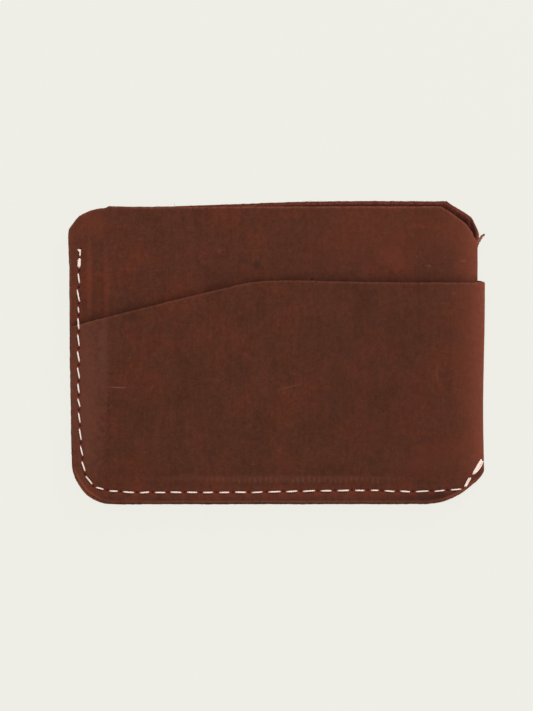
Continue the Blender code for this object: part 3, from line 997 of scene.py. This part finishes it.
def grain_colour(tree, pattern, tones, marks, rubbed_rim, has_feed_marks):
    """The dyed side: uneven brown, lighter where it is folded, rubbed or cut, with painted highlights on
    the fold's outer edge and on corner rims, and its marks, some of them painted shade.
    """
    plain, warm, deep = tones
    colour = placed(tree, HIDE_TONE, Pattern=pattern, Plain=plain, Warm=warm, Deep=deep)["Colour"]
    for mark in marks:
        colour = marked(tree, pattern, colour, *mark)
    if has_feed_marks:
        ticks = placed(tree, FEED_MARKS, Pattern=pattern)["Where"]
        colour = mixed(tree, times(tree, ticks, 0.35), colour, shade(112, 68, 52))
    # fold and rim are real wear; the tip's colour is a painted highlight along the fold's outer edge
    wear_and_highlight = [("fold", shade(114, 58, 42), 1.0, 0.25), ("tip", shade(142, 72, 52), 0.7, 0.4),
            ("rim", shade(124, 68, 51), rubbed_rim, 0.75)]
    for label, light_tint, strength, patchiness in wear_and_highlight:
        where = times(tree, named_value(tree, label), strength)
        colour = placed(tree, RUBBED_AND_HIGHLIT, Pattern=pattern, Colour=colour, Worn=light_tint, Where=where,
                        Patchiness=patchiness)["Colour"]
    colour = marked(tree, pattern, colour, *SOILED_CORNER)
    for centre, size in HIGHLIT_CORNER_RIMS:
        # painted highlight on the raw rims at the corners
        strength = times(tree, named_value(tree, "rim"), 0.5)
        colour = marked(tree, pattern, colour, centre, size, 0.0, (150, 80, 54), strength)
    return colour


def flesh_colour(tree, pattern):
    """The raw side, with painted shade darkening it inside the pockets, and a paler lip along its cut edge
    that is partly fibrous raw edge and partly painted highlight.
    """
    raw = spread(tree, noise(tree, pattern, (2.4, 1.0, 1.5), 4.0, 0.75), 0.4, 0.66)
    lip = times(tree, named_value(tree, "lip"), plus(tree, times(tree, raw, 0.6), 0.4))
    # painted shade inside the pockets; the lip colour is partly a painted highlight
    return mixed(tree, lip, shade(44, 16, 9), shade(152, 78, 58))


def leather_finish(name, tones, marks, rubbed_rim, has_feed_marks):
    """Oiled nubuck, with its cut edge, its flesh side, and painted shade in its needle holes, along the
    seam's channel and along the wrap's mouth.
    """
    made, tree, shader = blank_material(name)
    pattern = node(tree, "ShaderNodeAttribute", attribute_name="pattern").outputs["Vector"]
    grain = grain_colour(tree, pattern, tones, marks, rubbed_rim, has_feed_marks)
    colour = mixed(tree, named_value(tree, "flesh"), grain, flesh_colour(tree, pattern))
    colour = mixed(tree, times(tree, named_value(tree, "dimple"), 0.45), colour, shade(118, 48, 34))
    # painted shade in the needle holes and along the seam's channel
    sewn = plus(tree, times(tree, named_value(tree, "pit"), 0.7),
                times(tree, named_value(tree, "channel"), 0.12), clamp=True)
    # painted shadow along the wrap's mouth
    mouth_shade_mask = times(tree, named_value(tree, "painted_mouth_shade"), 0.42)
    colour = mixed(tree, maths(tree, "MAXIMUM", sewn, mouth_shade_mask), colour, shade(38, 16, 11))
    feed(tree, shader.inputs["Base Color"], colour)
    set_bump(tree, shader, placed(tree, NAP, Pattern=pattern)["Height"], 0.35, 0.12 * MM)
    polish = noise(tree, pattern, (0.3, 0.2, 0.3), 4.0, 0.6)
    feed(tree, shader.inputs["Roughness"], spread(tree, polish, 0.3, 0.7, 0.74, 0.88))
    shader.inputs["Specular IOR Level"].default_value = 0.1
    shader.inputs["Sheen Weight"].default_value = 0.02
    shader.inputs["Sheen Roughness"].default_value = 0.5
    shader.inputs["Sheen Tint"].default_value = shade(190, 130, 110)
    return made


def thread_finish(name, light, groove):
    """Waxed sewing thread: pale plies, with painted shade in the grooves between them."""
    made, tree, shader = blank_material(name)
    place = in_millimetres(tree)
    uneven = spread(tree, noise(tree, place, (0.6, 0.6, 0.6), 3.0, 0.6), 0.3, 0.7)
    colour = mixed(tree, times(tree, uneven, 0.3), light, shade(236, 204, 186))
    # painted shade in the grooves between the plies
    in_groove = spread(tree, named_value(tree, "ply"), 0.0, 0.5, 0.45, 0.0)
    feed(tree, shader.inputs["Base Color"], mixed(tree, in_groove, colour, groove))
    fibres = noise(tree, place, (9.0, 9.0, 9.0), 3.0, 0.6)
    set_bump(tree, shader, fibres, 0.3, 0.04 * MM)
    feed(tree, shader.inputs["Roughness"], spread(tree, fibres, 0.3, 0.7, 0.5, 0.7))
    shader.inputs["Sheen Weight"].default_value = 0.2
    return made


# Marks on the leather, some of them painted shade or painted highlight: centre and size in millimetres,
# turn, tint and strength
SLEEVE_MARKS = [
    ((-45.5, 18.0), (1.0, 13.0), 0.0, (112, 54, 40), 0.45),
    ((-41.3, 16.5), (1.0, 12.0), 0.0, (106, 50, 38), 0.45),
    ((-49.6, 14.0), (1.8, 22.0), 0.0, (100, 56, 41), 0.28),
    ((-44.5, 31.5), (5.0, 4.5), 0.5, (102, 50, 34), 0.5),
    ((-4.8, 21.3), (1.5, 1.4), 0.0, (52, 32, 25), 0.6),
    ((-8.0, 22.3), (1.4, 1.1), 0.0, (56, 33, 26), 0.5),
    ((-13.9, 24.6), (0.8, 0.8), 0.0, (122, 62, 44), 0.35),
    ((29.0, 22.5), (6.0, 3.4), 0.3, (100, 48, 33), 0.45),
    ((28.0, 28.5), (24.0, 10.0), -0.15, (104, 48, 32), 0.2),
    ((45.5, 22.3), (1.0, 0.5), 0.0, (132, 84, 68), 0.4),
    ((37.0, 21.1), (0.8, 0.4), 0.2, (124, 76, 60), 0.35),
    # painted shade in a small nick in the wrap's mouth
    ((8.7, 17.9), (0.6, 0.45), 0.0, (30, 14, 10), 0.65),
    # these two: painted shade on the sleeve's bottom rims under the wrap
    ((-6.0, -37.0), (48.0, 1.5), 0.0, (34, 12, 8), 0.9),
    ((BACK + 6.0, -37.1), (48.0, 1.5), 0.0, (34, 12, 8), 0.9),
]
WRAP_MARKS = [
    ((-46.6, -10.0), (5.8, 34.0), 0.0, (104, 60, 46), 0.55),
    ((-42.0, 0.0), (1.6, 18.0), 0.0, (98, 56, 44), 0.45),
    ((-38.6, -8.5), (2.6, 0.22), 0.03, (136, 86, 68), 0.5),
    ((-30.3, -8.6), (0.22, 1.1), 0.3, (120, 76, 62), 0.3),
    ((0.0, -30.6), (42.0, 1.1), 0.0, (96, 52, 40), 0.4),
    ((37.0, -35.2), (14.0, 1.6), -0.04, (50, 26, 20), 0.55),
    # painted highlight along the wrap front's bottom rim
    ((0.0, -36.4), (58.0, 0.42), 0.0, (116, 74, 60), 0.5),
    ((42.0, -34.6), (7.5, 1.7), -0.2, (46, 22, 17), 0.6),
    ((48.2, -31.4), (4.6, 2.4), -0.8, (46, 20, 15), 0.9),
    ((38.0, -25.0), (14.0, 4.0), -0.5, (92, 42, 29), 0.4),
    # painted shade on the wrap back's bottom rim
    ((BACK + 6.0, -37.4), (48.0, 1.5), 0.0, (34, 12, 8), 0.9),
    # painted shade in the gap between the wrap's and the sleeve's folds
    ((BACK - 49.8, 17.6), (1.8, 0.9), 0.0, (40, 15, 10), 0.9),
    ((23.0, -5.0), (18.0, 30.0), 0.0, (58, 31, 22), 0.15),
    ((0.0, -34.0), (48.0, 1.9), 0.0, (114, 52, 38), 0.22),
    ((-7.2, -1.0), (2.3, 0.7), 0.65, (112, 54, 38), 0.26),
    ((-29.8, -0.4), (0.8, 0.7), 0.0, (116, 52, 40), 0.22),
    ((-14.8, -6.7), (1.3, 0.9), 0.0, (112, 56, 44), 0.22),
    ((43.1, 14.4), (0.8, 0.6), 0.0, (118, 64, 48), 0.25),
    ((3.6, -8.3), (4.4, 0.3), -0.25, (108, 68, 54), 0.3),
    ((39.0, -4.9), (0.3, 3.2), 0.0, (112, 68, 54), 0.25),
]
# Where the last stitches pull the corner tight and dirt gathers
SOILED_CORNER = ((49.3, -30.4), (4.6, 2.3), -0.8, (54, 25, 19), 0.75)
# Corners whose raw rims get a painted highlight: centre and size
HIGHLIT_CORNER_RIMS = [
    ((-47.6, -33.6), (7.0, 8.0)),
    ((46.0, -33.0), (10.0, 8.0)),
    ((BACK + 47.6, -33.6), (7.0, 8.0)),
    ((BACK - 46.0, -33.0), (10.0, 8.0)),
]


# Small fibres

def hair(strands, root, lean, length, thickness, curl, draw):
    """One tapered fibre that leaves root along lean and curls."""
    points, radii = [], []
    way = np.array(lean, float)
    way /= np.linalg.norm(way)
    place = np.array(root, float)
    steps = 7
    for step in range(steps + 1):
        points.append(place.copy())
        radii.append(thickness * (1.0 - 0.85 * step / steps))
        bend = np.array([draw.uniform(-1, 1), draw.uniform(-1, 1), draw.uniform(-0.5, 0.5)]) * curl
        way = way + bend
        way /= np.linalg.norm(way)
        place = place + way * length / steps
    swept(strands, np.array(points), radii, 1.0, sides=5)


def edge_fibres():
    """Fine fibres that stand out of the raw mouths of the sleeve and the wrap."""
    draw = random.Random(21)
    strands = []
    back_top = MIDDLE_Z - SLEEVE_RADIUS
    front_top = MIDDLE_Z + SLEEVE_RADIUS
    for _ in range(260):
        x = draw.uniform(6.0, 41.0) * MM
        length = draw.uniform(0.15, 0.45) * MM
        hair(strands, (x, TOP - draw.uniform(0.1, 0.6) * MM, back_top + draw.uniform(-0.6, 0.85) * MM),
             (draw.uniform(-0.8, 0.8), 1.0, draw.uniform(-0.3, 0.8)), length, 0.04 * MM, 0.25, draw)
    for _ in range(70):
        x = draw.uniform(-38.0, 39.0) * MM
        hair(strands, (x, TOP - 1.5 * MM, front_top + draw.uniform(-0.7, 0.5) * MM),
             (draw.uniform(-0.8, 0.8), 1.0, draw.uniform(-0.3, 0.4)), draw.uniform(0.12, 0.3) * MM,
             0.025 * MM, 0.25, draw)
    # a tuft at the wrap's mouth, and one long loose fibre
    for x, lean in ((8.3, 0.9), (8.8, 0.3), (9.4, -0.6), (9.7, 0.7)):
        hair(strands, (x * MM, 17.35 * MM, WRAP_HIGH.z - 0.25 * MM), (lean, 0.5, 0.5), 0.55 * MM,
             0.06 * MM, 0.1, draw)
    hair(strands, (-24.7 * MM, TOP - 1.3 * MM, back_top + 0.4 * MM), (-0.45, 1.0, 0.3), 1.1 * MM, 0.05 * MM,
         0.06, draw)
    return joined_strands("edge_fibres", strands)


def whisker():
    """A sliver of leather that split from the top of the sleeve's fold."""
    strands = []
    root_z = MIDDLE_Z + 0.2 * MM
    points = smooth_line([Vector(place) * MM for place in ((48.35, 25.0), (48.85, 26.5), (49.6, 27.7),
                                                           (50.15, 28.4), (50.7, 28.8))], 5)
    widths = np.linspace(0.55, 0.26, len(points)) * MM
    swept(strands, np.array([(p.x, p.y, root_z) for p in points]), widths, 2.5 * MM, sides=10)
    return joined_strands("split_whisker", strands)


def fibre_finish():
    """Bare leather fibre, paler than the dyed side."""
    made, tree, shader = blank_material("raw fibre")
    varied = spread(tree, noise(tree, in_millimetres(tree), (1.5, 1.5, 1.5), 2.0), 0.35, 0.65)
    feed(tree, shader.inputs["Base Color"], mixed(tree, varied, shade(104, 48, 36), shade(142, 84, 66)))
    shader.inputs["Roughness"].default_value = 0.8
    return made


# Studio

def area_light(name, place, aim, size, power):
    lamp = bpy.data.lights.new(name, "AREA")
    lamp.shape = "DISK"
    lamp.size = size
    lamp.energy = power
    made = bpy.data.objects.new(name, lamp)
    bpy.context.scene.collection.objects.link(made)
    made.location = place
    made.rotation_mode = "QUATERNION"
    made.rotation_quaternion = (Vector(aim) - Vector(place)).to_track_quat("-Z", "Y")
    return made


def studio():
    """A pale floor, soft lights with the brighter one towards the top right, and the camera."""
    scene = bpy.context.scene
    scene.view_settings.view_transform = "Standard"
    world = bpy.data.worlds.new("studio")
    scene.world = world
    world.use_nodes = True
    background = world.node_tree.nodes["Background"]
    background.inputs["Color"].default_value = (1.0, 0.99, 0.97, 1.0)
    background.inputs["Strength"].default_value = 0.35

    bpy.ops.mesh.primitive_plane_add(size=6.0, location=(0, 0, -0.02 * MM))
    floor = bpy.context.object
    floor.name = "studio_floor"
    made, _, shader = blank_material("pale floor")
    shader.inputs["Base Color"].default_value = (0.03, 0.03, 0.028, 1.0)
    shader.inputs["Roughness"].default_value = 1.0
    shader.inputs["Specular IOR Level"].default_value = 0.0
    shader.inputs["Emission Color"].default_value = shade(238, 238, 230)
    shader.inputs["Emission Strength"].default_value = 0.965
    floor.data.materials.append(made)

    area_light("key", (0.45, 0.7, 0.75), (0, 0, 0), 0.35, 8.5)
    area_light("overhead", (-0.1, 0.0, 1.3), (0, 0, 0), 1.2, 4.5)
    area_light("fill", (-0.7, -0.7, 0.5), (0, 0, 0), 0.8, 2.0)

    camera = bpy.data.objects.new("camera", bpy.data.cameras.new("camera"))
    scene.collection.objects.link(camera)
    camera.data.lens = 300.0
    camera.data.sensor_width = 36.0
    view_height = 173.3 * MM
    distance = view_height * camera.data.lens / camera.data.sensor_width
    camera.location = (-2.44 * MM, -0.73 * MM, 3.0 * MM + distance)
    camera.data.clip_start = 0.05
    camera.data.clip_end = 20.0
    scene.camera = camera


# Putting it together

def carried(piece, finish, slot, *nodes):
    """A finished piece: its material, the body it rides on, its slot and what it stands for; slot is not
    used.
    """
    piece.data.materials.append(finish)
    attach(piece, "root")
    if nodes:
        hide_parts(*nodes)
    return piece


studio()

sleeve, sleeve_size, sleeve_area = leather_piece(
    "sleeve", whole_outline(sleeve_half(False), sleeve_half(True)), SLEEVE_RADIUS, SLEEVE_FOLD_X, 60,
    lambda place: place[1] > mouth_height(place[0]) + 0.3 * MM, True)
wrap, wrap_size, wrap_area = leather_piece(
    "wrap", whole_outline(wrap_half(False), wrap_half(True)), WRAP_RADIUS, WRAP_FOLD_X, 80,
    lambda place: place[1] <= mouth_height(place[0]) + 0.3 * MM or place[0] > 0, False)

# each leather's plain, warm and deep tones
sleeve_tones = shade(79, 41, 27), shade(93, 43, 26), shade(71, 37, 24)
wrap_tones = shade(76, 40, 26), shade(88, 42, 26), shade(68, 36, 23)
sleeve_leather = leather_finish("sleeve leather", sleeve_tones, SLEEVE_MARKS, 0.6, False)
wrap_leather = leather_finish("wrap leather", wrap_tones, WRAP_MARKS, 0.3, True)
carried(sleeve, sleeve_leather, "sleeve_leather", "inner_sleeve")
carried(wrap, wrap_leather, "wrap_leather", "outer_wrap")

needle_finish = thread_finish("needle thread", shade(250, 232, 221), shade(205, 168, 150))
bobbin_finish = thread_finish("bobbin thread", shade(246, 228, 216), shade(200, 164, 146))
carried(sewn_line("needle_stitches", False, 31), needle_finish, "seam_thread", "needle_thread")
carried(sewn_line("bobbin_stitches", True, 32), bobbin_finish, "seam_thread", "bobbin_thread")

raw_fibre = fibre_finish()
fibres = carried(edge_fibres(), raw_fibre, "sleeve_leather")
sliver = carried(whisker(), raw_fibre, "sleeve_leather")
